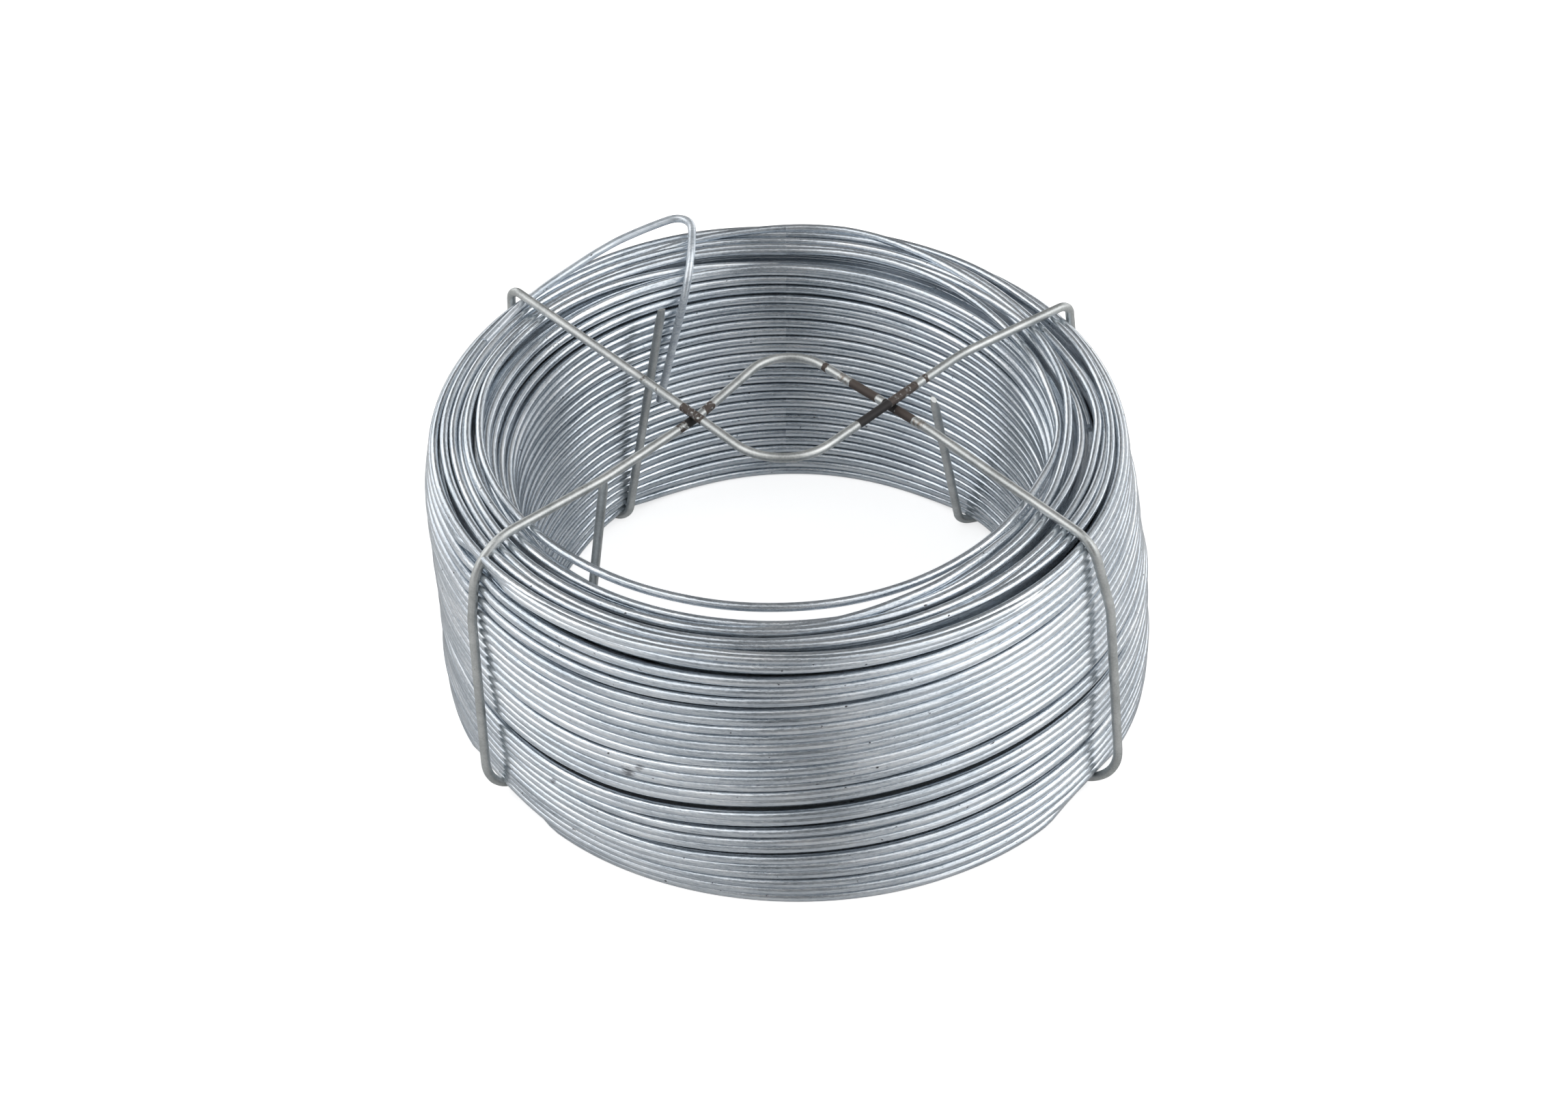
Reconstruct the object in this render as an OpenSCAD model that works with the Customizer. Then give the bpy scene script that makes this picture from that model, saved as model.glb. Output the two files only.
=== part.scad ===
// Ring of galvanized wire, wound round an open bore and held by a cage of two bent, spot-welded wires.
// Millimetres. Z is up, the floor is z = 0, the coil turns about the Z axis and -Y is the front.

/* [Coil] */
// Diameter of the coiled wire
wire_d = 1.2; // [0.8:0.1:1.5]
// Height of the wound ring
coil_h = 40; // [32:1:50]
// Radius of the open bore
bore_r = 37.2; // [32:0.2:42]
// Radius of the wound body
body_r = 50.4; // [46:0.2:56]
// How far the top edge is drawn in from the body
shoulder_in = 4.2; // [1:0.1:6]
// How far the bottom edge is drawn in from the body
base_in = 1.2; // [0.4:0.1:3]
// Turns up the outer face
turns_high = 26; // [20:1:32]
// Turns of the outer face that are drawn in to the top edge
turns_shoulder = 9; // [4:1:14]
// Turns of the outer face that are drawn in to the bottom edge
turns_foot = 3; // [1:1:6]
// How far the bore's wall flares out to the top face
mouth_out = 2; // [0:0.1:3]
// Turns of the bore's wall that flare out
turns_mouth = 6; // [3:1:10]
// Turns across the top face
turns_top = 6; // [5:1:9]
// Turns across the bottom face
turns_base = 9; // [7:1:11]

/* [Free end] */
// Angles where the end leaves its turn, lifts, is highest, is bent over, enters the bore and stops
tail_angles = [150, 138, 122, 110, 108, 112.5, 123]; // [90:0.5:150]
// Heights above the top face where it lifts, on its way up, at its highest and over the bore's edge
tail_rise = [0.7, 1.9, 3.3, 1.6]; // [0.5:0.1:5]
// How far it stands outside the top edge where it lifts, on its way up, at its highest and at the bend
tail_out = [1, 2.2, 1.8, -0.3]; // [-3:0.1:4]
// How far inside the bore's wall it enters and stops
tail_in = [0.8, 2.1]; // [0.7:0.1:6]
// How far it hangs below the top face
tail_drop = 20; // [10:0.5:30]
// Radius of its hairpin and of the bend into the bore
tail_bend_r = 1.6; // [1:0.1:3]
// Radius of its slow sweep over the edge
tail_sweep_r = 25; // [10:1:60]

/* [Cage wires] */
// Diameter of a cage wire
cage_d = 1.3; // [1:0.1:2]
// Clearance between a cage wire and the coil
seat_gap = 0.05; // [0.02:0.01:0.2]
// Radius of the hooks under the coil
hook_r = 2.5; // [1.5:0.1:4]
// Distance of a leg from the bore's wall at the floor
leg_gap = 0.5; // [0.1:0.1:3]
// Radius of the front bow over the bore
front_bow_r = 8.5; // [4:0.1:10]
// Radius of the back bow over the bore
back_bow_r = 6.6; // [4:0.1:10]
// Radius where a wire leans in with the shoulder
lean_r = 9; // [5:0.5:12]
// Radius of the slight knees in the arms
knee_r = 25; // [10:1:60]
// Corner of the front bow
front_bow = [-0.6, -14.4]; // [-20:0.1:20]
// Corner of the back bow
back_bow = [-0.4, 17]; // [-20:0.1:20]
// Knee in the back right arm
br_knee = [24.6, 12.4]; // [-30:0.1:30]
// Knee in the front left arm
fl_knee = [-24.5, -13.3]; // [-30:0.1:30]
// Kink in that arm just past the left weld
fl_kink = [-12.3, -0.2]; // [-30:0.1:30]
// Knee in the front right arm
fr_knee = [19.5, -2.7]; // [-30:0.1:30]

/* [Arms] */
// Back left arm: angles of its top bend, outer foot and inner foot
bl_angles = [144, 141, 133]; // [100:0.5:170]
// Back left arm: radius of its top bend, its reach past the top edge, its rise and its foot's flare
bl_bend = [2.5, 3.4, 0.7, 0.5]; // [0:0.1:10]
// Back left leg tip: angle, lean into the bore and height
bl_tip = [123, 2.5, 39.5]; // [0:0.5:180]
// Back right arm: angles of its top bend, outer foot and inner foot
br_angles = [31.3, 35, 43.5]; // [10:0.5:80]
// Back right arm: radius of its top bend, its reach past the top edge, its rise and its foot's flare
br_bend = [2.5, 2.4, 0.9, 0.9]; // [0:0.1:10]
// Back right leg tip: angle, lean into the bore and height
br_tip = [37.5, 9, 32]; // [0:0.5:180]
// Front left arm: angles of its top bend, outer foot and inner foot
fl_angles = [-145, -142.5, -145.5]; // [-170:0.5:-100]
// Front left arm: radius of its top bend, its reach past the top edge, its rise and its foot's flare
fl_bend = [7, 3, 0.6, 0.3]; // [0:0.1:10]
// Front left leg tip: angle, lean into the bore and height
fl_tip = [-155.4, 9, 40]; // [-180:0.5:180]
// Front right arm: angles of its top bend, outer foot and inner foot
fr_angles = [-33.2, -31.5, -36]; // [-80:0.5:-10]
// Front right arm: radius of its top bend, its reach past the top edge, its rise and its foot's flare
fr_bend = [4, 1.5, 0.1, 3.1]; // [0:0.1:10]
// Front right leg tip: angle, lean into the bore and height
fr_tip = [-44, 3.8, 37.5]; // [-180:0.5:180]

/* [Hidden] */
turn_r = wire_d / 2;
rod_r = cage_d / 2;
coil_fn = 160;
wire_fn = 32;
// A bend is this much thicker than its straights, and takes in this much of each.
swell = cage_d / 65;
lap = cage_d / 9;

// Heights: the coil sits on the cage's four bottom runs, and the arms lie on its top face.
run_z = rod_r + swell;
base_z = cage_d + swell + seat_gap;
top_z = base_z + coil_h;
low_z = base_z + turn_r;
high_z = top_z - turn_r;
arm_z = top_z + seat_gap + rod_r;
over_z = arm_z + cage_d;
pitch = (high_z - low_z) / (turns_high - 1);
lean_z = top_z - 0.7 * turns_shoulder * pitch;

// Radii of the turns at the corners of the ring's section, and of its top edge.
in_r = bore_r + turn_r;
out_r = body_r - turn_r;
edge_turn_r = out_r - shoulder_in;
foot_turn_r = out_r - base_in;
edge_r = body_r - shoulder_in;
flare = min(mouth_out, 0.35 * (edge_turn_r - in_r));
mouth_turn_r = in_r + flare;

// Radii that a cage wire keeps outside and inside the coil.
side_r = body_r + seat_gap + rod_r;
leg_r = bore_r - seat_gap - rod_r - leg_gap;

// Section of the ring: the turns on its outer face, its top, its bore and its bottom, in order.
function drawn(i) = shoulder_in * pow(max(0, i + 1 - turns_high + turns_shoulder) / turns_shoulder, 2);
function tucked(i) = base_in * pow(max(0, turns_foot - i) / turns_foot, 2);
function flared(i) = flare * pow(max(0, i + 1 - turns_high + turns_mouth) / turns_mouth, 2);
function level(i) = low_z + pitch * i;
outer_turns = [for (i = [0:turns_high - 1]) [out_r - drawn(i) - tucked(i), level(i)]];
top_turns = [for (i = [1:turns_top - 2])
    [edge_turn_r + (mouth_turn_r - edge_turn_r) * i / (turns_top - 1), high_z]];
bore_turns = [for (i = [turns_high - 1:-1:0]) [in_r + flared(i), level(i)]];
base_turns = [for (i = [1:turns_base - 2]) [in_r + (foot_turn_r - in_r) * i / (turns_base - 1), low_z]];
section = concat(outer_turns, top_turns, bore_turns, base_turns);

// Paths of the bent wires.
function pol(r, a, z) = [r * cos(a), r * sin(a), z];
function flat(p) = [p[0], p[1]];
function lift(p, z) = [p[0], p[1], z];
function unit(v) = v / norm(v);
function back(list) = [for (i = [len(list) - 1:-1:0]) list[i]];
function cross2(a, b) = a[0] * b[1] - a[1] * b[0];
function meet(a, b, c, d) = a + (b - a) * cross2(c - a, d - c) / cross2(b - a, d - c);
function turn(p, q, r) = acos(unit(q - p) * unit(r - q));
function cut(path, radii, i) = radii[i - 1] * tan(turn(path[i - 1], path[i], path[i + 1]) / 2);
function before(path, radii, i) = path[i] - unit(path[i] - path[i - 1]) * (cut(path, radii, i) - lap);
function after(path, radii, i) = path[i] + unit(path[i + 1] - path[i]) * (cut(path, radii, i) - lap);

// An arm's end: tip of the leg, inner foot, outer foot, shoulder and top bend.
function arm(angles, bend, tip) = [
    pol(leg_r - tip[1], tip[0], tip[2]),
    pol(leg_r, angles[2], run_z),
    pol(side_r + bend[3], angles[1], run_z),
    pol(side_r, 0.7 * angles[0] + 0.3 * angles[1], lean_z),
    pol(edge_r + bend[1], angles[0], arm_z + bend[2])
];
function arm_radii(bend) = [hook_r, hook_r, lean_r, bend[0]];

bl_arm = arm(bl_angles, bl_bend, bl_tip);
br_arm = arm(br_angles, br_bend, br_tip);
fl_arm = arm(fl_angles, fl_bend, fl_tip);
fr_arm = arm(fr_angles, fr_bend, fr_tip);
left_cross = meet(flat(bl_arm[4]), front_bow, fl_knee, fl_kink);

front_path = concat(
    bl_arm,
    [lift(left_cross, over_z), lift(front_bow, over_z), lift(br_knee, over_z)],
    back(br_arm)
);
front_radii = concat(arm_radii(bl_bend), [knee_r, front_bow_r, knee_r], back(arm_radii(br_bend)));
back_path = concat(
    fl_arm,
    [lift(fl_knee, arm_z), lift(fl_kink, arm_z), lift(back_bow, arm_z), lift(fr_knee, arm_z)],
    back(fr_arm)
);
back_radii = concat(arm_radii(fl_bend), [knee_r, knee_r, back_bow_r, knee_r], back(arm_radii(fr_bend)));

// The free end is rooted one wire below the top edge's turn.
function over_edge(i) = pol(edge_r + tail_out[i] - turn_r, tail_angles[i + 1], top_z + tail_rise[min(i, 2)]);
tail_path = [
    pol(edge_turn_r - wire_d, tail_angles[0], high_z - wire_d),
    over_edge(0),
    over_edge(1),
    over_edge(2),
    over_edge(3),
    pol(bore_r - tail_in[0], tail_angles[5], top_z + tail_rise[3]),
    pol(bore_r - tail_in[1], tail_angles[6], top_z - tail_drop)
];
tail_radii = [tail_sweep_r, tail_sweep_r, tail_bend_r, tail_bend_r, tail_bend_r];

// A straight length of wire from a to b.
module rod(a, b, d) {
    w = unit(b - a);
    u = unit(cross(abs(w[2]) < 0.9 ? [0, 0, 1] : [1, 0, 0], w));
    v = cross(w, u);
    multmatrix([[u[0], v[0], w[0], a[0]], [u[1], v[1], w[1], a[1]], [u[2], v[2], w[2], a[2]]])
        cylinder(h = norm(b - a), d = d, $fn = wire_fn);
}

// The bend at q between p and r.
module bend(p, q, r, rad, d) {
    y = unit(q - p);
    a = turn(p, q, r);
    x = -unit(unit(r - q) - y * (y * unit(r - q)));
    c = q - y * rad * tan(a / 2) - x * rad;
    z = cross(x, y);
    multmatrix([[x[0], y[0], z[0], c[0]], [x[1], y[1], z[1], c[1]], [x[2], y[2], z[2], c[2]]])
        rotate_extrude(angle = a, $fn = 4 * wire_fn) translate([rad, 0]) circle(d = d, $fn = wire_fn);
}

// A wire bent at every inner point of its path.
module bent(path, radii, d) {
    last = len(path) - 1;
    for (i = [0:last - 1])
        rod(i == 0 ? path[0] : after(path, radii, i), i == last - 1 ? path[last] : before(path, radii, i + 1), d);
    for (i = [1:last - 1])
        bend(path[i - 1], path[i], path[i + 1], radii[i - 1], d + 2 * swell);
}

module wire_coil() {
    color([0.72, 0.74, 0.77]) {
        rotate_extrude($fn = coil_fn) {
            polygon(section);
            for (p = section)
                translate(p) circle(d = wire_d, $fn = wire_fn);
        }
        bent(tail_path, tail_radii, wire_d);
    }
}

module cage_wire_front() {
    color([0.66, 0.68, 0.71]) bent(front_path, front_radii, cage_d);
}

module cage_wire_back() {
    color([0.63, 0.65, 0.68]) bent(back_path, back_radii, cage_d);
}

wire_coil();
cage_wire_front();
cage_wire_back();
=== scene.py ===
import math

import bmesh
import bpy
import numpy as np
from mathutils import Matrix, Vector


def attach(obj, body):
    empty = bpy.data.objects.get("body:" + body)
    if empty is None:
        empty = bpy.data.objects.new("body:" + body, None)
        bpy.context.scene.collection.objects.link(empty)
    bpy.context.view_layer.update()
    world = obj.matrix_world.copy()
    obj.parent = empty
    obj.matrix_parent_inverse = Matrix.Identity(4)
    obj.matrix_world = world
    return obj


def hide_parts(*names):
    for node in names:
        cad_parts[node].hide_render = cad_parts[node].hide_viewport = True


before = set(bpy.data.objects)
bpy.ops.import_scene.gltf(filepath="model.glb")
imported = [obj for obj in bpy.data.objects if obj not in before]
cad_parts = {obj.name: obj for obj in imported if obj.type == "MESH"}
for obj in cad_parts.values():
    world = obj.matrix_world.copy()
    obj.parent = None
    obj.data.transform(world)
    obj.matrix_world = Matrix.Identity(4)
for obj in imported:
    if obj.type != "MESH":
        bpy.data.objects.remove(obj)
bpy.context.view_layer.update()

# Millimetres and degrees. The front is at -90 degrees, the right at 0 and the back at 90.
MM = 0.001
# The wire is 1.2 thick. Wound turns are drawn thicker, so that neighbours nearly touch.
WIRE_D = 1.2
WOUND_D = 1.38
CAGE_D = 1.3
# Centre heights of the lowest and highest turns and of the outside's top edge.
LOW_Z = 0.66
HIGH_Z = 40.77
EDGE_Z = 40.1
OUTER_TURNS = 27
# Outer turns lie wider apart below the main parting, which is counted in turns, than above it.
PARTED = 10.5
PITCH_BELOW = 1.59
PITCH_ABOVE = 1.45
BORE_TURNS = 27
BORE_PITCH = 1.543
BORE_R = 37.8
BASE_TURNS = 8
BASE_R = (39.2, 48.3)
# How far behind its two neighbours a turn of the next layer lies.
NEST = 1.08
UNDER_TOP = 2.5
# The radius at which the finish is unrolled, and that of the smudges on the outside.
GRAIN_R = 44
SMUDGE_R = 50.8
# Distance between the centres of a cage wire and a turn that it presses on.
PRESS = 1.27
rng = np.random.default_rng(26)


def ease(a, b, x):
    t = np.clip((x - a) / (b - a), 0, 1)
    return t * t * (3 - 2 * t)


def ring_value(stops, angle, blur=6.0):
    """A smooth value round the ring through (angle, value) stops."""
    steps = np.arange(-180, 180, 1.0)
    angles = np.array([s[0] for s in stops], float)
    values = np.interp(steps, angles, [s[1] for s in stops], period=360)
    reach = np.arange(-20, 21)
    weight = np.exp(-((reach / blur) ** 2))
    weight /= weight.sum()
    soft = sum(w * np.roll(values, k) for k, w in zip(reach, weight))
    return np.interp(angle, steps, soft, period=360)


def profile(stops, x):
    """A smooth value through (x, value) stops along a line."""
    fine = np.linspace(stops[0][0], stops[-1][0], 400)
    values = np.interp(fine, [s[0] for s in stops], [s[1] for s in stops])
    padded = np.pad(values, 20, mode="edge")
    soft = np.convolve(padded, np.hanning(23) / np.hanning(23).sum(), "same")[20:-20]
    return np.interp(x, fine, soft)


def drift(u, per_turn, amount):
    """A slow wander along a wire, u counted in turns."""
    knots = rng.normal(0, amount, int(u.max() * per_turn) + 3)
    t = u * per_turn
    i = np.floor(t).astype(int)
    f = t - i
    f = f * f * (3 - 2 * f)
    return knots[i] * (1 - f) + knots[i + 1] * f


def lean(z):
    """The ring leans a little to the left at its top."""
    return -1.2 + 2.6 * (41 - z) / 39


def beside(angle, middle, reach):
    """1 at the middle angle, falling off within the reach."""
    return np.exp(-(((angle - middle + 180) % 360 - 180) / reach) ** 2)


RUNS = [-143.5, -33, 39, 137]


def lifted(angle, z):
    """The lowest turns ride over the cage's four runs and sag to the floor between them."""
    hump = sum(beside(angle, run, 13) for run in RUNS)
    return z + 1.33 * hump * np.exp(-((z - LOW_Z) / 5) ** 2)


def placed(r, angle, z):
    a = np.radians(angle)
    return np.stack([r * np.cos(a) + lean(z), r * np.sin(a), z], axis=-1)


def bent_line(corners, radii, step=6):
    """The centreline of a wire bent at each inner corner."""
    corners = [np.array(p, float) for p in corners]
    line = [corners[0]]
    for i, radius in enumerate(radii, start=1):
        p, q, r = corners[i - 1:i + 2]
        u = (q - p) / np.linalg.norm(q - p)
        v = (r - q) / np.linalg.norm(r - q)
        turn = math.acos(np.clip(u @ v, -1, 1))
        n = v - u * (u @ v)
        n /= np.linalg.norm(n)
        start = q - u * radius * math.tan(turn / 2)
        centre = start + n * radius
        for a in np.linspace(0, turn, max(3, int(math.degrees(turn) / step))):
            line.append(centre - n * radius * math.cos(a) + u * radius * math.sin(a))
    line.append(corners[-1])
    return np.array(line)


def spaced(line, gap):
    """The same line with a point every gap millimetres."""
    along = np.concatenate([[0], np.cumsum(np.linalg.norm(np.diff(line, axis=0), axis=1))])
    t = np.linspace(0, along[-1], max(2, int(along[-1] / gap)) + 1)
    return np.stack([np.interp(t, along, line[:, k]) for k in range(3)], axis=-1)


def drawn_wire(name, lines, diameter, sides, upright=True):
    """One mesh of round wire drawn along the lines, with closed ends."""
    curve = bpy.data.curves.new(name + "_line", "CURVE")
    curve.dimensions = "3D"
    curve.twist_mode = "Z_UP" if upright else "MINIMUM"
    curve.bevel_depth = diameter / 2 * MM
    curve.bevel_resolution = (sides - 4) // 2
    curve.use_fill_caps = True
    for line in lines:
        spline = curve.splines.new("POLY")
        spline.points.add(len(line) - 1)
        co = np.ones((len(line), 4))
        co[:, :3] = np.asarray(line) * MM
        spline.points.foreach_set("co", co.ravel())
    shaper = bpy.data.objects.new(name + "_line", curve)
    bpy.context.scene.collection.objects.link(shaper)
    graph = bpy.context.evaluated_depsgraph_get()
    mesh = bpy.data.meshes.new_from_object(shaper.evaluated_get(graph))
    bpy.data.objects.remove(shaper)
    bpy.data.curves.remove(curve)
    mesh.name = name
    return finished(name, mesh)


def finished(name, mesh):
    """Closes a mesh, turns its faces outwards and puts it in the scene."""
    bm = bmesh.new()
    bm.from_mesh(mesh)
    bmesh.ops.remove_doubles(bm, verts=bm.verts, dist=0.001 * MM)
    bmesh.ops.recalc_face_normals(bm, faces=bm.faces)
    bm.to_mesh(mesh)
    bm.free()
    mesh.shade_smooth()
    mesh.set_sharp_from_angle(angle=math.radians(50))
    piece = bpy.data.objects.new(name, mesh)
    bpy.context.scene.collection.objects.link(piece)
    return piece


def fitted(piece, finish, slot, *nodes):
    """Gives a piece its finish and hangs it on the part."""
    piece.data.materials.clear()
    piece.data.materials.append(finish)
    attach(piece, "root")
    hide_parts(*nodes)


class Value:
    """A shader socket that takes part in sums."""

    def __init__(self, tree, socket):
        self.tree = tree
        self.socket = socket

    def math(self, operation, *terms):
        node = self.tree.nodes.new("ShaderNodeMath")
        node.operation = operation
        for socket, term in zip(node.inputs, terms):
            plug(self.tree, socket, term)
        return Value(self.tree, node.outputs[0])

    def __add__(self, other):
        return self.math("ADD", self, other)

    def __radd__(self, other):
        return self.math("ADD", other, self)

    def __sub__(self, other):
        return self.math("SUBTRACT", self, other)

    def __rsub__(self, other):
        return self.math("SUBTRACT", other, self)

    def __mul__(self, other):
        return self.math("MULTIPLY", self, other)

    def __rmul__(self, other):
        return self.math("MULTIPLY", other, self)

    def step(self, low, high):
        """0 below low, 1 above high and smooth between."""
        node = self.tree.nodes.new("ShaderNodeMapRange")
        node.interpolation_type = "SMOOTHSTEP"
        plug(self.tree, node.inputs["Value"], self)
        node.inputs["From Min"].default_value = low
        node.inputs["From Max"].default_value = high
        return Value(self.tree, node.outputs["Result"])


def plug(tree, socket, value):
    if isinstance(value, Value):
        tree.links.new(value.socket, socket)
    else:
        socket.default_value = value


class Nodes:
    """A node tree that nodes are added to by type, settings and sockets."""

    def __init__(self, tree):
        self.tree = tree
        tree.nodes.clear()

    def add(self, kind, settings=None, sockets=None, out=0):
        node = self.tree.nodes.new(kind)
        for key, value in (settings or {}).items():
            if key == "stops":
                ramp = node.color_ramp.elements
                while len(ramp) < len(value):
                    ramp.new(0.5)
                for stop, (at, colour) in zip(ramp, value):
                    stop.position = at
                    stop.color = (*colour, 1)
            else:
                setattr(node, key, value)
        for key, value in (sockets or {}).items():
            plug(self.tree, node.inputs[key], value)
        return Value(self.tree, node.outputs[out]) if node.outputs else node

    def parts(self, kind, whole):
        """The separate values of a vector or a colour."""
        node = self.tree.nodes.new(kind)
        plug(self.tree, node.inputs[0], whole)
        return [Value(self.tree, socket) for socket in node.outputs]

    def noise(self, vector, scale, detail=2.0, roughness=0.5):
        return self.add("ShaderNodeTexNoise", {"noise_dimensions": "3D"}, {
            "Vector": vector, "Scale": scale, "Detail": detail, "Roughness": roughness})

    def mix(self, factor, a, b):
        node = self.tree.nodes.new("ShaderNodeMix")
        node.data_type = "RGBA"
        plug(self.tree, node.inputs["Factor"], factor)
        for key, colour in (("A", a), ("B", b)):
            socket = [s for s in node.inputs if s.name == key and s.type == "RGBA"][0]
            plug(self.tree, socket, colour if isinstance(colour, Value) else (*colour, 1))
        out = [s for s in node.outputs if s.type == "RGBA"][0]
        return Value(self.tree, out)


def new_finish(name):
    finish = bpy.data.materials.new(name)
    finish.use_nodes = True
    return finish, Nodes(finish.node_tree)


def along_wire(nodes):
    """Object coordinates unrolled round the ring: along the turns, out from the axis, and up."""
    place = nodes.add("ShaderNodeTexCoord", out="Object")
    x, y, z = nodes.parts("ShaderNodeSeparateXYZ", place)
    run = x.math("ARCTAN2", x, y * -1) * GRAIN_R
    out = x.math("SQRT", x * x + y * y) * 1000
    return place, run, out, z * 1000


def grain(nodes, run, out, up, length, width):
    """Noise drawn out along the wire, with features of this length and width in millimetres."""
    return nodes.add("ShaderNodeCombineXYZ", None, {
        "X": run * (1 / length), "Y": out * (1 / width), "Z": up * (1 / width)})


# Small dark smudges on the outside, as (angle, height, reach, depth).
SMUDGES = [(-114.3, 20, 1.3, 0.75), (-112.3, 21.5, 0.8, 0.7), (-129, 11.2, 0.7, 0.7),
           (-132, 37, 0.6, 0.7)]


def coil_finish():
    finish, nodes = new_finish("coil_zinc")
    place, run, out, up = along_wire(nodes)
    streak = nodes.noise(grain(nodes, run, out, up, 6.0, 0.22), 1.0, 3.0, 0.6)
    speck = nodes.noise(grain(nodes, run, out, up, 0.7, 0.2), 1.0, 2.0, 0.7)
    cloud = nodes.noise(grain(nodes, run, out, up, 14.0, 1.6), 1.0, 2.0, 0.5)
    pit = nodes.noise(grain(nodes, run, out, up, 0.7, 0.45), 1.0, 1.0, 0.5)
    tone = streak * 0.4 + speck * 0.35 + cloud * 0.45
    colour = nodes.add("ShaderNodeValToRGB", {"stops": [
        (0.42, (0.38, 0.43, 0.48)),
        (0.60, (0.67, 0.725, 0.78)),
        (0.76, (0.88, 0.91, 0.94))]}, {"Fac": tone})
    colour = nodes.mix(pit.step(0.74, 0.8), colour, (0.12, 0.12, 0.13))
    for angle, z, reach, depth in SMUDGES:
        x = SMUDGE_R * math.cos(math.radians(angle)) + lean(z)
        y = SMUDGE_R * math.sin(math.radians(angle))
        away = nodes.add("ShaderNodeVectorMath", {"operation": "DISTANCE"}, {
            0: place, 1: (x * MM, y * MM, z * MM)}, "Value") * (1000 / reach) + speck * 1.4 - 0.7
        colour = nodes.mix((1 - away.step(0.2, 1.0)) * depth, colour, (0.1, 0.1, 0.11))
    bump = nodes.add("ShaderNodeBump", None, {
        "Strength": 0.5, "Distance": 0.00005, "Height": streak * 0.6 + speck * 0.7})
    dull = nodes.add("ShaderNodeAttribute", {"attribute_name": "dull"}, None, "Fac")
    shader = nodes.add("ShaderNodeBsdfPrincipled", None, {
        "Base Color": colour, "Metallic": 0.87 - dull * 0.37,
        "Roughness": 0.05 + 0.2 * speck + 0.1 * cloud, "Normal": bump})
    nodes.add("ShaderNodeOutputMaterial", None, {"Surface": shader})
    return finish


# Scorch at the welds and small marks on the arms, as (start, end, height, kind, depth).
OVER_Z = 43.37
UNDER_Z = 42.07
SOOT, BROWN, STRAW = 0, 1, 2
BURNS = [
    ((-14.3, 0.7), (-11.2, -2.7), OVER_Z, BROWN, 0.58),
    ((9.7, -3.4), (14.1, 1.2), OVER_Z, SOOT, 0.8),
    ((14.1, 1.2), (18.0, 5.4), OVER_Z, BROWN, 0.6),
    ((18.9, 6.4), (19.6, 7.1), OVER_Z, BROWN, 0.6),
    ((-19.9, 7.0), (-19.2, 6.2), OVER_Z, BROWN, 0.36),
    ((-17.9, 4.7), (-17.3, 4.0), OVER_Z, BROWN, 0.34),
    ((-11.5, 0.9), (-10.3, 2.7), UNDER_Z, BROWN, 0.56),
    ((-13.8, -1.8), (-12.2, -0.1), UNDER_Z, SOOT, 1.0),
    ((-15.0, -3.1), (-13.8, -1.8), UNDER_Z, BROWN, 0.52),
    ((7.6, 9.1), (9.2, 7.5), UNDER_Z, STRAW, 0.4),
    ((9.2, 7.5), (12.7, 4.0), UNDER_Z, BROWN, 0.9),
    ((13.7, 3.1), (15.3, 1.5), UNDER_Z, SOOT, 1.0),
    ((15.3, 1.5), (17.6, -0.8), UNDER_Z, BROWN, 0.75),
    ((17.6, -0.8), (19.2, -2.4), UNDER_Z, STRAW, 0.42),
    ((5.4, 11.3), (6.0, 10.7), UNDER_Z, BROWN, 0.7),
    ((-27.2, -16.0), (-26.6, -15.4), UNDER_Z, BROWN, 0.34),
]


def scorched(piece):
    """Marks how burnt each point of a cage wire is, with one channel for each kind."""
    mesh = piece.data
    co = np.empty(len(mesh.vertices) * 3)
    mesh.vertices.foreach_get("co", co)
    co = co.reshape(-1, 3) / MM
    burn = np.zeros((len(co), 4))
    burn[:, 3] = 1
    for start, stop, z, kind, depth in BURNS:
        a = np.array((*start, z))
        span = np.array((*stop, z)) - a
        length = np.linalg.norm(span)
        t = (co - a) @ span / length
        away = np.linalg.norm(co - a - np.outer(t, span / length), axis=1)
        inside = ease(-0.3, 0.3, t) * (1 - ease(length - 0.3, length + 0.3, t)) * (away < 1.25)
        burn[:, kind] = np.maximum(burn[:, kind], depth * inside)
    layer = mesh.attributes.new("burn", "FLOAT_COLOR", "POINT")
    layer.data.foreach_set("color", burn.ravel())


PINCH_REACH = 2.0
PINCH_DEPTH = 0.62


def pinched(piece, tip, across):
    """Flattens the sheared end of a leg."""
    tip = Vector(tip)
    across = Vector(across).normalized()
    for vertex in piece.data.vertices:
        place = vertex.co / MM - tip
        if place.length < PINCH_REACH:
            near = 1 - ease(0.3, PINCH_REACH, place.length)
            vertex.co -= across * (place @ across) * MM * PINCH_DEPTH * near


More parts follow.
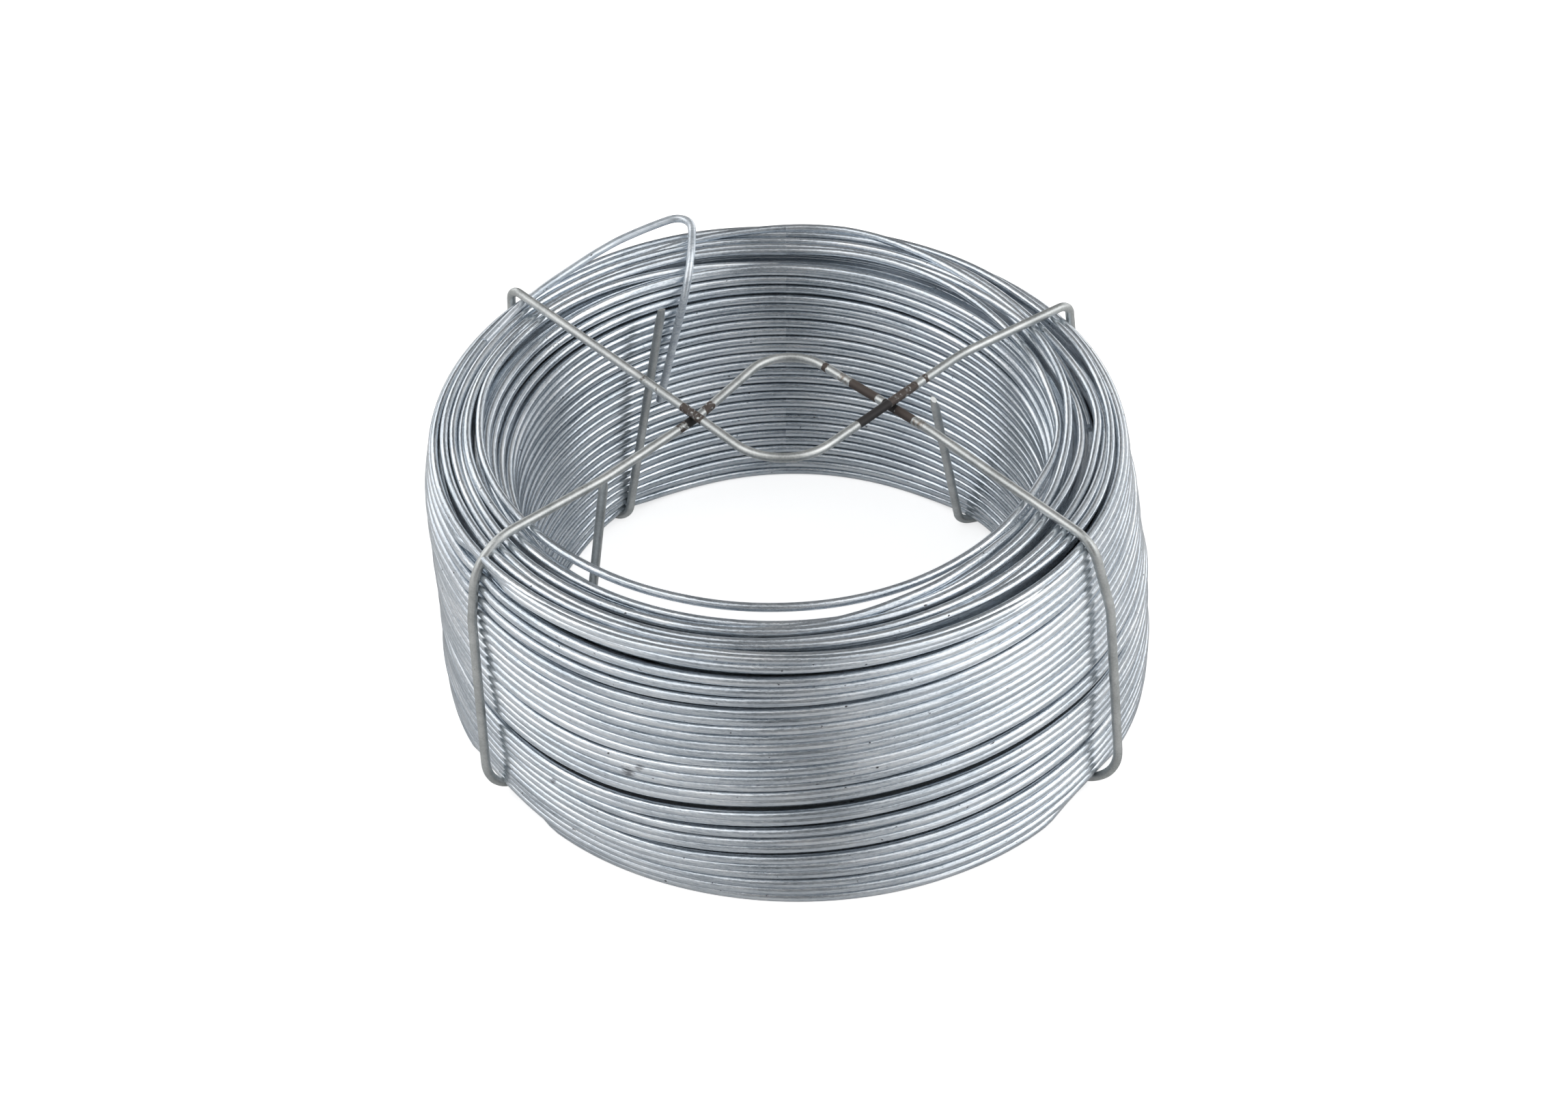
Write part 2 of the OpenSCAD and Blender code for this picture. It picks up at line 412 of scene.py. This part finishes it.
def cage_finish():
    finish, nodes = new_finish("cage_zinc")
    place = nodes.add("ShaderNodeTexCoord", out="Object")
    cloud = nodes.noise(place, 260.0, 3.0, 0.6)
    speck = nodes.noise(place, 3600.0, 2.0, 0.6)
    tone = cloud * 0.7 + speck * 0.45
    colour = nodes.add("ShaderNodeValToRGB", {"stops": [
        (0.40, (0.43, 0.45, 0.447)),
        (0.60, (0.58, 0.60, 0.595)),
        (0.80, (0.73, 0.745, 0.735))]}, {"Fac": tone})
    ragged = nodes.noise(place, 1700.0, 3.0, 0.65) - 0.5
    burn = nodes.add("ShaderNodeAttribute", {"attribute_name": "burn"}, None, "Color")
    soot, brown, straw = nodes.parts("ShaderNodeSeparateColor", burn)
    scale = (soot + brown + straw * 0.5 + ragged * 1.1).step(0.3, 0.6)
    colour = nodes.mix((straw + ragged * 1.0).step(0.25, 0.6), colour, (0.27, 0.235, 0.20))
    colour = nodes.mix((brown + ragged * 1.4).step(0.28, 0.55), colour, (0.085, 0.068, 0.06))
    colour = nodes.mix((soot + ragged * 0.9).step(0.25, 0.5), colour, (0.03, 0.028, 0.028))
    bump = nodes.add("ShaderNodeBump", None, {
        "Strength": 0.35, "Distance": 0.00006, "Height": cloud * 0.4 + speck * 0.6 + scale * 0.6})
    shader = nodes.add("ShaderNodeBsdfPrincipled", None, {
        "Base Color": colour, "Metallic": 0.9 - scale * 0.6,
        "Roughness": 0.3 + 0.2 * speck + scale * 0.2, "Normal": bump})
    nodes.add("ShaderNodeOutputMaterial", None, {"Surface": shader})
    return finish


def paper_finish():
    """White to the camera, and a pale grey floor in the metal's reflections, with painted shade in
    front of the middle and painted light inside the bore.
    """
    paper, nodes = new_finish("paper")
    seen = nodes.add("ShaderNodeLightPath", out="Is Camera Ray")
    through = nodes.add("ShaderNodeLightPath", out="Is Transmission Ray")
    glossy = nodes.add("ShaderNodeLightPath", out="Is Glossy Ray")
    matt = nodes.add("ShaderNodeBsdfDiffuse", None, {"Color": (0.8, 0.8, 0.8, 1)})
    spot = nodes.add("ShaderNodeTexCoord", out="Object")
    x, y = nodes.parts("ShaderNodeSeparateXYZ", spot)[:2]
    from_axis = x.math("SQRT", x * x + y * y)
    # Painted shade and light: the floor that the metal mirrors is darker in front of the middle,
    # standing for the camera side's shadow, and lighter inside the bore as a painted pool of light.
    painted_light_off_middle = x.math("ABSOLUTE", x).step(0.015, 0.065)
    painted_light_in_bore = 1 - from_axis.step(0.034, 0.042)
    painted_floor_shade = 0.46 + 0.16 * painted_light_off_middle + 0.36 * painted_light_in_bore
    shade = nodes.add("ShaderNodeCombineXYZ", None, {"X": painted_floor_shade, "Y": painted_floor_shade, "Z": painted_floor_shade})
    dim = nodes.add("ShaderNodeBsdfDiffuse", None, {"Color": shade})
    glow = nodes.add("ShaderNodeEmission", None, {"Color": (1, 1, 1, 1), "Strength": 0.68})
    lit = nodes.add("ShaderNodeAddShader", None, {0: matt, 1: glow})
    faint = nodes.add("ShaderNodeEmission", None, {"Color": (1, 1, 1, 1), "Strength": 0.06})
    mirrored = nodes.add("ShaderNodeAddShader", None, {0: dim, 1: faint})
    unseen = nodes.add("ShaderNodeMixShader", None, {0: glossy, 1: matt, 2: mirrored})
    bright = seen.math("MAXIMUM", seen, through)
    both = nodes.add("ShaderNodeMixShader", None, {0: bright, 1: unseen, 2: lit})
    nodes.add("ShaderNodeOutputMaterial", None, {"Surface": both})
    return paper


DEGREES = 180 / math.pi


def studio_world():
    """Light boxes, walls and a backdrop for the metal to mirror, in degrees round and up."""
    world = bpy.data.worlds.new("studio")
    world.use_nodes = True
    nodes = Nodes(world.node_tree)
    way = nodes.add("ShaderNodeTexCoord", out="Generated")
    x, y, z = nodes.parts("ShaderNodeSeparateXYZ", way)
    round_to = x.math("ARCTAN2", x.math("ABSOLUTE", x), y * -1) * DEGREES
    height = x.math("ARCSINE", z) * DEGREES
    right = x.step(-0.05, 0.05)
    off_middle = x.math("ARCSINE", x.math("ABSOLUTE", x)) * DEGREES
    sides = round_to.step(11, 19) * (1 - round_to.step(96, 114))
    boxes = sides * height.step(46, 56) * (1 - height.step(76, 88))
    walls = sides * height.step(-4, 4) * (1 - height.step(46, 56))
    low_sides = walls * round_to.step(24, 44)
    behind = round_to.step(108, 126) * off_middle.step(10, 22)
    backdrop = behind * height.step(-4, 4) * (1 - height.step(36, 50))
    low_back = round_to.step(90, 112) * off_middle.step(8, 18) * (1 - height.step(6, 16))
    strip = 1 - off_middle.step(8, 18)
    overhead = height.step(69, 74) * (1 - height.step(80, 85)) * (1 - round_to.step(70, 100))
    low_right = low_sides * right * (1 - round_to.step(66, 90))
    level = (0.31 + boxes * (1.25 - 0.25 * right) + walls * 0.1 + low_sides * 0.35 + low_right * 0.4
             + backdrop * (1.2 - 0.85 * right) + low_back * (0.05 + 1.5 * right)) * (1 - 0.46 * strip)
    level = level + overhead * strip * 0.35
    seen = nodes.add("ShaderNodeLightPath", out="Is Camera Ray")
    strength = seen + (1 - seen) * level
    background = nodes.add("ShaderNodeBackground", None, {"Color": (1, 1, 1, 1), "Strength": strength})
    nodes.add("ShaderNodeOutputWorld", None, {"Surface": background})
    return world


# Camera at the photograph's angle.
camera = bpy.data.objects.new("photo_camera", bpy.data.cameras.new("photo_camera"))
camera.data.lens = 60
camera.data.sensor_width = 36
camera.location = (-0.0003, -0.28067, 0.26865)
aim = Vector((-0.0003, 0, 0.0177)) - camera.location
camera.rotation_mode = "QUATERNION"
camera.rotation_quaternion = aim.to_track_quat("-Z", "Y")
camera.data.clip_start = 0.01
bpy.context.scene.collection.objects.link(camera)
bpy.context.scene.camera = camera
bpy.context.scene.view_settings.view_transform = "Standard"

# The cage's two wires.
FRONT_WIRE = [(-18.25, 28.1, 39.5), (-24.55, 26.33, 0.67), (-40.1, 32.47, 0.67),
              (-40.86, 30.68, 31.59), (-40.13, 29.15, 42.77), (-12.9, -0.85, 43.37),
              (-0.6, -14.4, 43.37), (24.6, 12.4, 43.37), (40.95, 25.0, 42.97), (42.6, 27.15, 31.59),
              (43.9, 30.7, 0.67), (27.0, 25.5, 0.67), (21.42, 16.44, 32)]
FRONT_R = [2.5, 4, 9, 2.5, 25, 8.5, 25, 2.5, 9, 4, 2.5]
BACK_WIRE = [(-24.55, -11.24, 40.8), (-29.67, -20.39, 0.67), (-41.2, -33.6, 0.67),
             (-41.47, -29.86, 31.59), (-40.3, -28.22, 42.67), (-24.5, -13.3, 42.07),
             (-12.3, -0.2, 42.07), (-0.4, 17, 42.07), (19.5, -2.7, 42.07), (39.91, -26.12, 42.17),
             (43.01, -27.6, 31.59), (46.5, -32.2, 0.67), (29.12, -21.16, 0.67),
             (23.3, -22.34, 36.3)]
BACK_R = [2.5, 6.5, 9, 7, 25, 25, 6.6, 25, 4, 9, 6.5, 2.5]
CAGE_STEP = 0.35
FRONT_LINE = spaced(bent_line(FRONT_WIRE, FRONT_R), CAGE_STEP)
BACK_LINE = spaced(bent_line(BACK_WIRE, BACK_R), CAGE_STEP)


def uprights(line, start, stop):
    """The stretches of a cage wire that stand between these radii, from the foot up."""
    r = np.hypot(line[:, 0], line[:, 1])
    ends = np.arange(len(line)) < len(line) / 2
    found = []
    for end in (ends, ~ends):
        stretch = line[end & (r > start) & (r < stop) & (line[:, 2] > 0.7)]
        found.append(stretch[np.argsort(stretch[:, 2])])
    return found


OUTSIDE = (44.5, 60)
INSIDE = (26, 38.5)
OUTSIDES = uprights(FRONT_LINE, *OUTSIDE) + uprights(BACK_LINE, *OUTSIDE)
LEGS = uprights(FRONT_LINE, *INSIDE) + uprights(BACK_LINE, *INSIDE)


def pressed(r, angle, z, sides, way):
    """Turns give way to the cage wires that lie along them: way is -1 inwards and 1 outwards."""
    for side in sides:
        level = np.clip(z, side[0, 2], side[-1, 2])
        x = np.interp(level, side[:, 2], side[:, 0]) - lean(z)
        y = np.interp(level, side[:, 2], side[:, 1])
        off = (angle - np.degrees(np.arctan2(y, x)) + 180) % 360 - 180
        limit = np.hypot(x, y) + way * (PRESS - 0.016 * off ** 2)
        near = (np.abs(off) < 25) & (z < side[-1, 2] + 0.5)
        r = np.where(near, np.minimum(r, limit) if way < 0 else np.maximum(r, limit), r)
    return r


# Outer turns: one wire climbing round the outside, tilted and parted as it is wound.
SAMPLES = 200
theta = np.linspace(-270, 90, SAMPLES, endpoint=False)
OUT_R = [(0, 50.9), (2, 51.0), (5, 51.0), (10, 50.6), (16, 50.4), (22, 50.2), (25, 49.8),
         (30, 49.4), (34, 49.0), (36, 48.7), (38, 48.3), (39.3, 47.9), (40.2, 47.5), (42, 46.8)]
TILT = [(-180, -2.2), (-145, -2.5), (-130, -2.8), (-119, -2.6), (-110, -1.9), (-101, -0.9),
        (-90, 0), (-75, 0.9), (-60, 1.5), (-47, 1.7), (-33, 1.3), (0, 0.5), (60, -0.4), (120, -1.2),
        (150, -1.8)]
TILT_AT = [(0, 0), (3, 0.25), (8.5, 0.6), (12, 0.8), (17, 1.0), (21, 0.95), (28, 0.75), (34, 0.55),
           (37, 0.3), (39, 0.1), (42, 0)]
# Gaps between two turns, as (place in turns, width, from angle, to angle).
PARTINGS = [(10.5, 1.45, -175, -25), (12.5, 0.45, -120, -60), (12.5, 0.7, -62, 15),
            (8.5, 0.8, -115, -60), (7.5, 0.8, -125, -45), (5.5, 0.8, -115, -35),
            (22.5, 0.4, -150, -40), (25.5, 0.4, -125, -60), (2.5, 0.3, -100, -80),
            (0.5, 0.3, -100, -80), (15.5, 0.3, -160, -120), (19.5, 0.3, 20, 120),
            (12.5, 0.5, 60, 170)]


def climb(turns, seam=-270):
    """Turn number, angle and turns wound so far, for each point of a wire wound from the seam."""
    n, angle = np.meshgrid(np.arange(turns), theta + 270 + seam, indexing="ij")
    return n, angle, n + (angle - seam) / 360


def turns_of(u):
    return math.ceil(u.max())


def outer_lines():
    """Turns up the outside, whose ends dive in behind their neighbours."""
    n, angle, u = climb(OUTER_TURNS)
    step_up = 0.5 * ease(55, 90, angle) - 0.5 * (1 - ease(-270, -235, angle))
    level = n + step_up
    z = LOW_Z + PITCH_BELOW * np.minimum(level, PARTED) + PITCH_ABOVE * np.maximum(level - PARTED, 0)
    z = np.clip(z, LOW_Z, EDGE_Z)
    z = z + ring_value(TILT, angle) * profile(TILT_AT, z)
    for between, gap, left, right in PARTINGS:
        window = ease(left - 15, left + 8, angle) * (1 - ease(right - 8, right + 15, angle))
        near = np.abs(n - between) - 0.5
        z = z + 0.5 * gap * window * np.sign(n - between) * np.exp(-near / 2)
    z = np.clip(z + drift(u, 5, 0.03), LOW_Z, EDGE_Z + 0.15)
    z = lifted(angle, z)
    r = profile(OUT_R, z) + drift(u, 4, 0.05) + drift(u, 1.2, 0.06)
    bulges = 0.9 * beside(angle, 50, 25) + 0.5 * beside(angle, 105, 20)
    r = r - 0.2 * beside(angle, 180, 50) + ease(30, 38, z) * bulges
    r = r - 0.45 * beside(angle, 180, 45) * np.exp(-((z - 17) / 8) ** 2)
    r = r - 0.6 * beside(angle, 0, 45) * np.exp(-((z - 35) / 4) ** 2)
    r = r + 0.4 * beside(angle, -5, 30) * (1 - ease(18, 22, z)) * ease(2, 8, z)
    r = pressed(r, angle, z, OUTSIDES, -1)
    start = ease(0.12, 0, u)
    stop = 1.8 * ease(turns_of(u) - 0.2, turns_of(u), u)
    return placed(r - 1.5 * (start + stop), angle, z - 0.6 * stop)


outer = outer_lines()


def nested(turns, push):
    """A turn lying in each groove behind these turns."""
    middle = (turns[:-1] + turns[1:]) / 2
    axis = np.stack([lean(middle[..., 2]), np.zeros(middle.shape[:2]), middle[..., 2]], axis=-1)
    out = middle - axis
    out /= np.linalg.norm(out, axis=-1, keepdims=True)
    return middle + out * push


# Turns up the bore's wall. The wall flares out to the top face's innermost turns.
MOUTH_R = [(-180, 40.4), (-160, 40.4), (-145, 40.4), (-120, 40.3), (-90, 40.1), (-60, 39.9),
           (-40, 39.4), (-15, 38.7), (0, 39.0), (30, 38.9), (60, 38.5), (90, 38.4), (120, 38.8),
           (150, 39.8)]


def bore_lines():
    angle, u = climb(BORE_TURNS, -90)[1:]
    z = np.clip(LOW_Z + BORE_PITCH * (u - 0.5), LOW_Z, HIGH_Z - 1.2)
    z = np.clip(z + drift(u, 5, 0.04), LOW_Z, HIGH_Z - 1.1)
    z = lifted(angle, z)
    r = BORE_R + drift(u, 4, 0.05) + drift(u, 1.2, 0.06)
    r = r + (ring_value(MOUTH_R, angle) - BORE_R) * ease(33, 40, z) ** 1.5
    r = pressed(r, angle, z, LEGS, 1)
    end = ease(0.12, 0, u) + ease(turns_of(u) - 0.12, turns_of(u), u)
    return placed(r + 1.5 * end, angle, z)


bore = bore_lines()

# Turns on the top face from the loose innermost one outwards, as (angle, radius) and (angle, height).
TOP_R = [
    [(-180, 41.2), (-170, 40.8), (-160, 40.2), (-145, 39.2), (-130, 38.4), (-110, 37.6),
     (-90, 37.2), (-70, 37), (-50, 36.8), (-30, 36.9), (-18, 37.4), (-12, 38.1), (0, 39.0),
     (12, 38.9), (22, 39.4), (60, 39.0), (90, 38.9), (120, 39.6), (150, 41.4), (165, 41.9),
     (173, 41.6)],
    [(-180, 42.8), (-172, 42.6), (-161, 42.1), (-151, 41.6), (-142, 41.4), (-120, 40.7),
     (-100, 40.2), (-80, 40), (-60, 40.0), (-45, 39.7), (-28, 39.6), (-13, 39.6), (-4, 40.0),
     (4, 40.5), (10, 41.1), (19, 41.4), (27, 41.9), (50, 41.2), (90, 40.3), (120, 40.9),
     (150, 42.7), (165, 43.0)],
    [(-180, 43.75), (-166, 43.3), (-155, 43.1), (-148, 43.1), (-140, 43.2), (-120, 42.8),
     (-105, 42.5), (-90, 42), (-75, 41.5), (-60, 41.2), (-45, 40.9), (-26, 40.9), (-14, 41.4),
     (-7, 41.8), (1, 41.9), (8, 41.9), (16, 41.1), (30, 41.2), (60, 41.6), (90, 41.5), (120, 42.2),
     (150, 43.8)],
    [(-180, 44.85), (-168, 44.4), (-157, 44.2), (-148, 44.3), (-135, 44.6), (-110, 44.2),
     (-85, 43.2), (-60, 42.8), (-45, 42.9), (-24, 43.2), (-19, 43.4), (-12, 43.6), (-6, 43.8),
     (0, 44.4), (6, 44.5), (13, 44.2), (20, 43.6), (40, 42.9), (90, 42.8), (120, 43.5), (150, 44.8)],
    [(-180, 46.0), (-166, 45.7), (-155, 45.5), (-140, 45.7), (-110, 45.3), (-90, 44.5), (-60, 44.4),
     (-40, 44.9), (-30, 45.4), (-22, 45.7), (-6, 45.8), (7, 46.1), (22, 46.2), (40, 45.3),
     (90, 44.2), (120, 44.8), (150, 46.0)],
    [(-180, 47.3), (-160, 47.3), (-140, 47.2), (-125, 46.8), (-115, 46.5), (-100, 45.9),
     (-90, 46.0), (-75, 46.4), (-55, 46.9), (-40, 47.2), (-20, 47.3), (0, 47.3), (30, 47.0),
     (60, 46.2), (90, 45.7), (150, 47.0)],
]
TOP_Z = [
    [(-180, 40.9), (-90, 40.9), (-30, 40.7), (0, 40.4), (30, 40.2), (90, 40.7), (150, 41.0)],
    [(-180, 41.0), (-120, 40.5), (-60, 40.5), (-20, 40.8), (5, 41.5), (20, 41.6), (35, 41.2),
     (90, 40.7), (150, 40.9)],
    [(-180, 40.2), (-150, 40.6), (-100, 41.0), (-60, 40.9), (-30, 41.0), (0, 40.6), (18, 40.3),
     (40, 40.6), (90, 40.8), (150, 40.4)],
    [(-180, 40.5), (-150, 40.6), (-100, 40.7), (-40, 40.7), (0, 41.0), (30, 41.0), (90, 40.9),
     (150, 40.5)],
    [(-180, 40.7), (-140, 40.9), (-90, 41.0), (-30, 40.9), (0, 40.8), (90, 40.9), (150, 40.7)],
    [(-180, 40.2), (-145, 40.5), (-115, 40.7), (-90, 40.8), (-60, 40.7), (-30, 40.5), (0, 40.3),
     (60, 40.6), (90, 40.8), (150, 40.3)],
]
BACK_RISE = [(-180, 0), (10, 0), (30, 0.7), (50, 1.1), (75, 0.7), (90, 0.5), (105, 0.7), (120, 0.6),
             (160, 0)]


def top_lines():
    count = len(TOP_R)
    over = ease(25, 80, theta)
    r = []
    z = []
    for k in range(count):
        after = min(k + 1, count - 1)
        for rows, stops in ((r, TOP_R), (z, TOP_Z)):
            here = ring_value(stops[k], theta, 3.5)
            there = ring_value(stops[after], theta, 3.5)
            rows.append(here + (there - here) * over)
    u = np.arange(count)[:, None] + (theta + 270)[None] / 360
    end = ease(0.15, 0, u) + ease(count - 0.2, count - 0.04, u)
    r = np.array(r) + drift(u, 6, 0.06) + 0.9 * ease(count - 0.2, count, u)
    z = np.array(z) + ring_value(BACK_RISE, theta) + drift(u, 6, 0.06) - 1.7 * end
    return placed(r, np.broadcast_to(theta, r.shape), z)


top = top_lines()

# Loose lengths that cross other turns on the top face: angle, radius and height.
CROSSINGS = [
    [(2, 43.2, 39.0), (14, 42.8, 40.0), (24, 42.6, 40.9), (35, 42.3, 41.9), (50, 42.6, 42.4),
     (60, 43.5, 42.5), (70, 44.7, 42.5), (77, 45.3, 42.4), (85, 45, 42.4), (95, 44.3, 42.3),
     (105, 44, 42.0), (125, 43.6, 40.8), (140, 43.4, 39.4)],
    [(-110, 41.6, 39.4), (-95, 41.1, 40.2), (-80, 40.9, 41.2), (-66, 39.9, 41.6), (-50, 38.6, 41.2),
     (-40, 37.9, 40.4), (-25, 37.8, 39.2), (-5, 38.6, 37.6)],
    [(-155, 46.7, 39.2), (-135, 47.4, 40.4), (-115, 47.5, 40.9), (-100, 47.1, 41.1),
     (-90, 47.1, 41.1), (-75, 47.5, 41.0), (-55, 47.6, 40.6), (-40, 47.4, 39.9), (-25, 46.8, 38.8)],
    [(-70, 43.6, 39.4), (-55, 43.7, 40.2), (-40, 44.0, 41.0), (-28, 44.4, 41.1), (-15, 44.8, 40.9),
     (0, 45.3, 40.4), (15, 45.3, 39.8), (30, 44.6, 39.0)],
    [(55, 46.0, 39.0), (75, 46.9, 39.8), (92, 47.3, 40.2), (115, 47.3, 40.2), (135, 46.7, 39.6),
     (150, 46.0, 38.8)],
]


def crossing(stops):
    angle = np.arange(stops[0][0], stops[-1][0], 1.6)
    r = profile([(a, r) for a, r, z in stops], angle)
    z = profile([(a, z) for a, r, z in stops], angle)
    return placed(r, angle, z)


crossings = [crossing(stops) for stops in CROSSINGS]


def base_lines():
    """Turns on the bottom face."""
    angle, u = climb(BASE_TURNS)[1:]
    r = BASE_R[0] + (BASE_R[1] - BASE_R[0]) * u / BASE_TURNS + drift(u, 5, 0.06)
    z = lifted(angle, LOW_Z + np.abs(drift(u, 5, 0.05)))
    return placed(r, angle, z)


base = base_lines()

# The free end humps over the back edge, is bent over the top and hangs in the bore.
TAIL = [(-43.2, 18.6, 40.9), (-38.9, 26.2, 41.5), (-34.63, 31.18, 42.07), (-25.33, 40.54, 43.27),
        (-16.21, 44.54, 44.67), (-14.0, 43.08, 44.67), (-13.93, 33.63, 42.97), (-19.12, 29.44, 21.37)]
TAIL_R = [25, 25, 25, 1.6, 1.6, 9]


def relaxed(line, reach):
    """The same line with its corners eased over this many points."""
    weight = np.hanning(2 * reach + 1)
    weight /= weight.sum()
    padded = np.concatenate([np.repeat(line[:1], reach, 0), line, np.repeat(line[-1:], reach, 0)])
    soft = np.stack([np.convolve(padded[:, k], weight, "valid") for k in range(3)], axis=-1)
    keep = np.minimum(np.arange(len(line)), np.arange(len(line))[::-1]) / reach
    keep = np.clip(keep, 0, 1)[:, None]
    return line * (1 - keep) + soft * keep


zinc = coil_finish()
dull_zinc = cage_finish()
for name, rows, sides, thick in (("outer_turns", outer, 10, WOUND_D), ("bore_turns", bore, 10, WOUND_D),
                                 ("top_turns", top, 10, WIRE_D), ("base_turns", base, 8, WIRE_D),
                                 ("under_outer_turns", nested(outer, -NEST), 6, WOUND_D),
                                 ("under_bore_turns", nested(bore, NEST), 6, WOUND_D)):
    lines = [rows.reshape(-1, 3)] + (crossings if name == "top_turns" else [])
    piece = drawn_wire(name, lines, thick, sides)
    fitted(piece, zinc, "coil_zinc", "wire_coil")

under_top = np.concatenate([top[:-1] * (1 - t) + top[1:] * t for t in (0.33, 0.67)])
under_top = under_top - np.array([0, 0, UNDER_TOP])
piece = drawn_wire("under_top_turns", [under_top.reshape(-1, 3)], WIRE_D, 6)
fitted(piece, zinc, "coil_zinc", "wire_coil")

tail_line = relaxed(spaced(bent_line(TAIL, TAIL_R), 0.3), 9)
free_end = drawn_wire("free_end", [tail_line], WIRE_D, 12, upright=False)
dulled = free_end.data.attributes.new("dull", "FLOAT", "POINT")
dulled.data.foreach_set("value", np.ones(len(free_end.data.vertices)))
fitted(free_end, zinc, "coil_zinc", "wire_coil")

for name, line in (("cage_front", FRONT_LINE), ("cage_back", BACK_LINE)):
    piece = drawn_wire(name, [line], CAGE_D, 14, upright=False)
    for tip in (line[0], line[-1]):
        pinched(piece, tip, (tip[0], tip[1], 0))
    scorched(piece)
    fitted(piece, dull_zinc, "cage_zinc", name.replace("cage_", "cage_wire_"))

# Floor, world and lamps.
floor_mesh = bpy.data.meshes.new("floor")
bm = bmesh.new()
bmesh.ops.create_grid(bm, x_segments=4, y_segments=4, size=3)
bm.to_mesh(floor_mesh)
bm.free()
floor = bpy.data.objects.new("floor", floor_mesh)
bpy.context.scene.collection.objects.link(floor)
floor.data.materials.append(paper_finish())

bpy.context.scene.world = studio_world()

LAMP_SIZE = 0.5
LAMP_AIM = Vector((0, 0, 0.02))
for name, place, power in (("left_box", (-0.6, -0.05, 0.5), 0.8),
                           ("right_box", (0.62, -0.05, 0.5), 1.0)):
    lamp = bpy.data.lights.new(name, "AREA")
    lamp.shape = "SQUARE"
    lamp.size = LAMP_SIZE
    lamp.energy = power
    holder = bpy.data.objects.new(name, lamp)
    holder.location = place
    holder.rotation_mode = "QUATERNION"
    holder.rotation_quaternion = (LAMP_AIM - Vector(place)).to_track_quat("-Z", "Y")
    bpy.context.scene.collection.objects.link(holder)

bpy.context.view_layer.update()
